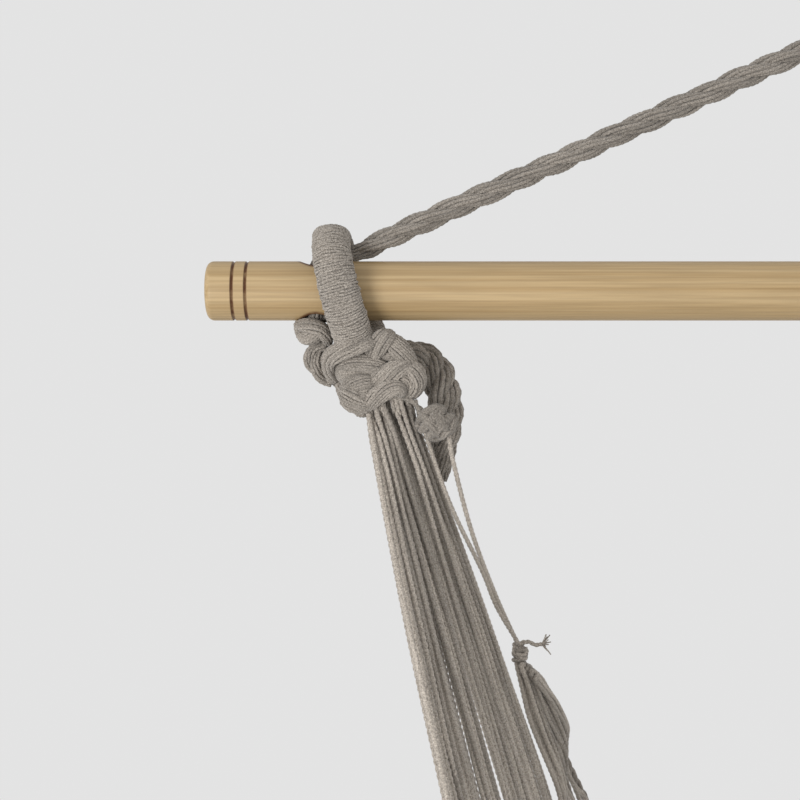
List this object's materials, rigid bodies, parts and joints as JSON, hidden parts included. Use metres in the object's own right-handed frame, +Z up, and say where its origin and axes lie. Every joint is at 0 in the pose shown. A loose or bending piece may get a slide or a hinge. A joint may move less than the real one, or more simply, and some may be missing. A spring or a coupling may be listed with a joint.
{
  "type": "hanging hammock chair",
  "caption": "Cotton string hammock chair slung from a pine spreader bar, with whipped eye loops, braided collars, tied-up back edge and a rope eye to hang it by.",
  "frame": {"origin": "bearing point at the top inside of the hanging eye", "axes": "+X along the spreader bar, +Z up, -Y the open front of the seat"},
  "size_m": [1, 0.6016, 1.2331],
  "materials": {
    "pine": "satin, sanded, unvarnished, burnt grooves",
    "cotton_rope": "twisted cotton rope, matt taupe",
    "cotton_whipping": "tightly wound cotton yarn, matt taupe",
    "cotton_knot": "crossed bands of cotton yarn, matt taupe",
    "cotton_string": "plied cotton string, matt taupe"
  },
  "bodies": {
    "hanging_eye": {"hanging_eye": "cotton_whipping"},
    "eye_knot": {"eye_knot": "cotton_knot"},
    "neck": {"neck_binding": "cotton_whipping"},
    "hanger": {"crown_knot": "cotton_knot", "spreader_bar": "pine", "left_suspension_rope": "cotton_rope", "left_stopper_knot": "cotton_knot", "right_suspension_rope": "cotton_rope", "right_stopper_knot": "cotton_knot"},
    "sling": {"left_eye_loop": "cotton_whipping", "left_collar_knot": "cotton_knot", "left_collar_tail": "cotton_rope", "left_tie_button": "cotton_knot", "left_arm_strings": "cotton_string", "right_eye_loop": "cotton_whipping", "right_collar_knot": "cotton_knot", "right_collar_tail": "cotton_rope", "right_tie_button": "cotton_knot", "right_arm_strings": "cotton_string", "seat_net": "cotton_string"},
    "front_edge": {"left_front_strings": "cotton_string", "right_front_strings": "cotton_string", "front_net": "cotton_string", "front_selvedge": "cotton_string"},
    "back_edge": {"left_tie_cord": "cotton_string", "left_tie_knot": "cotton_knot", "left_back_strings": "cotton_string", "right_tie_cord": "cotton_string", "right_tie_knot": "cotton_knot", "right_back_strings": "cotton_string", "back_net": "cotton_string", "back_selvedge": "cotton_string"}
  },
  "joints": [
    {"name": "spin", "type": "hinge", "parent": "hanging_eye", "child": "eye_knot", "pos_m": [0, 0, -0.0768], "axis": [0, 0, 1], "range_deg": [-90, 90]},
    {"name": "side_sway", "type": "hinge", "parent": "eye_knot", "child": "neck", "pos_m": [0, 0, -0.0768], "axis": [0, 1, 0], "range_deg": [-20, 20]},
    {"name": "fore_aft_swing", "type": "hinge", "parent": "neck", "child": "hanger", "pos_m": [0, 0, -0.1404], "axis": [1, 0, 0], "range_deg": [-30, 30]},
    {"name": "sling_swing", "type": "hinge", "parent": "hanger", "child": "sling", "pos_m": [0, 0, -0.34795], "axis": [1, 0, 0], "range_deg": [-18, 18]},
    {"name": "front_opens", "type": "hinge", "parent": "sling", "child": "front_edge", "pos_m": [0, 0, -0.42775], "axis": [-1, 0, 0], "range_deg": [0, 14]},
    {"name": "back_opens", "type": "hinge", "parent": "sling", "child": "back_edge", "pos_m": [0, 0, -0.42775], "axis": [1, 0, 0], "range_deg": [0, 11.2]}
  ],
  "couplings": [
    {"joint": "back_opens", "follows": "front_opens", "ratio": 0.8}
  ]
}
